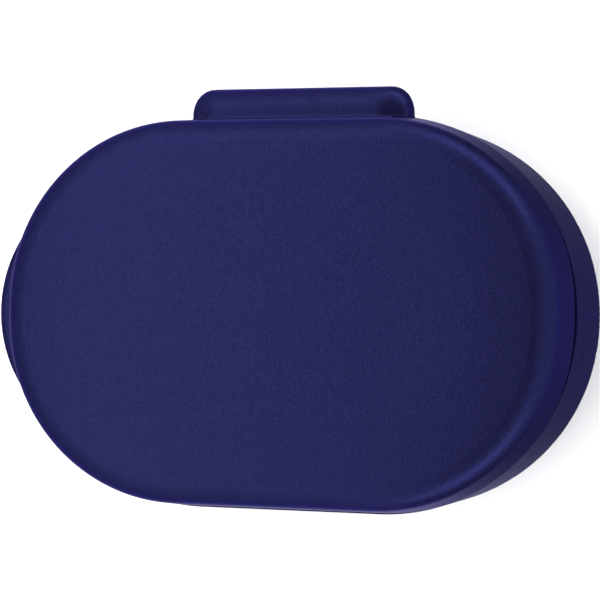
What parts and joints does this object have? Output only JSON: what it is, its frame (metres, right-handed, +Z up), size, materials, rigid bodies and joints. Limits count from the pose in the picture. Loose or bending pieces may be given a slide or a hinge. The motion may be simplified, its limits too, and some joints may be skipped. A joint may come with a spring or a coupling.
{
  "type": "earbuds charging case",
  "caption": "Oval earbuds charging case in a two-part silicone sleeve: hinged lid, open earbud wells with sprung charging pins, rear charging socket and a side lanyard lug.",
  "frame": {"origin": "centre of the flat bottom face, midway along the oval body and midway between its front and back walls", "axes": "+X along the case's long side to the right with the hinge at the back, +Y towards the hinge, +Z up through the lid"},
  "size_m": [0.0693, 0.0469, 0.0293],
  "materials": {
    "sleeve_silicone": "matte",
    "shell_plastic": "satin",
    "tray_plastic": "satin",
    "liner_plastic": "satin",
    "hinge_steel": "brushed",
    "spring_steel": "drawn",
    "screw_steel": "blackened",
    "magnet_nickel": "plated",
    "contact_gold": "plated",
    "board_green": "solder mask",
    "chip_black": "moulded",
    "ceramic": "fired",
    "coil_ferrite": "ferrite",
    "cell_foil": "foil",
    "foam_tape": "foam",
    "lead_insulation": "extruded",
    "plug_nylon": "moulded",
    "lamp_resin": "clear resin",
    "pipe_clear": "clear"
  },
  "bodies": {
    "base": {"base_cover": "sleeve_silicone", "hinge_strap": "sleeve_silicone", "base_shell": "shell_plastic", "earbud_tray": "tray_plastic", "battery_cell": "cell_foil", "battery_tape": "foam_tape", "battery_leads": "lead_insulation", "battery_connector": "plug_nylon", "main_board": "board_green", "board_screws": "screw_steel", "control_chip": "chip_black", "charge_chip": "chip_black", "power_coil": "coil_ferrite", "small_parts": "ceramic", "hall_sensor": "chip_black", "port_shell": "hinge_steel", "port_tongue": "chip_black", "status_lamp": "lamp_resin", "light_pipe": "pipe_clear", "base_magnet": "magnet_nickel", "hinge_bracket": "hinge_steel", "hinge_screws": "screw_steel", "hinge_pin": "hinge_steel", "hinge_spring": "spring_steel", "left_contact_board": "board_green", "left_contact_barrels": "contact_gold", "left_bud_magnets": "magnet_nickel", "left_front_contact_spring": "spring_steel", "left_back_contact_spring": "spring_steel", "right_contact_board": "board_green", "right_contact_barrels": "contact_gold", "right_bud_magnets": "magnet_nickel", "right_front_contact_spring": "spring_steel", "right_back_contact_spring": "spring_steel"},
    "lid": {"lid_cover": "sleeve_silicone", "lid_shell": "shell_plastic", "lid_liner": "liner_plastic", "lid_magnet": "magnet_nickel", "sensor_magnet": "magnet_nickel", "hinge_arm": "hinge_steel", "arm_screws": "screw_steel"},
    "left_front_contact_pin": {"left_front_contact_pin": "contact_gold"},
    "left_back_contact_pin": {"left_back_contact_pin": "contact_gold"},
    "right_front_contact_pin": {"right_front_contact_pin": "contact_gold"},
    "right_back_contact_pin": {"right_back_contact_pin": "contact_gold"}
  },
  "joints": [
    {"name": "lid_hinge", "type": "hinge", "parent": "base", "child": "lid", "pos_m": [0, 0.0226, 0.0175], "axis": [-1, 0, 0], "range_deg": [0, 105], "deforming": ["hinge_strap"]},
    {"name": "left_front_pin_press", "type": "slide", "parent": "base", "child": "left_front_contact_pin", "axis": [0, 0, -1], "range_m": [0, 0.0008], "stiffness_N_per_m": 300, "springref_m": -0.0008, "deforming": ["left_front_contact_spring"]},
    {"name": "left_back_pin_press", "type": "slide", "parent": "base", "child": "left_back_contact_pin", "axis": [0, 0, -1], "range_m": [0, 0.0008], "stiffness_N_per_m": 300, "springref_m": -0.0008, "deforming": ["left_back_contact_spring"]},
    {"name": "right_front_pin_press", "type": "slide", "parent": "base", "child": "right_front_contact_pin", "axis": [0, 0, -1], "range_m": [0, 0.0008], "stiffness_N_per_m": 300, "springref_m": -0.0008, "deforming": ["right_front_contact_spring"]},
    {"name": "right_back_pin_press", "type": "slide", "parent": "base", "child": "right_back_contact_pin", "axis": [0, 0, -1], "range_m": [0, 0.0008], "stiffness_N_per_m": 300, "springref_m": -0.0008, "deforming": ["right_back_contact_spring"]}
  ]
}
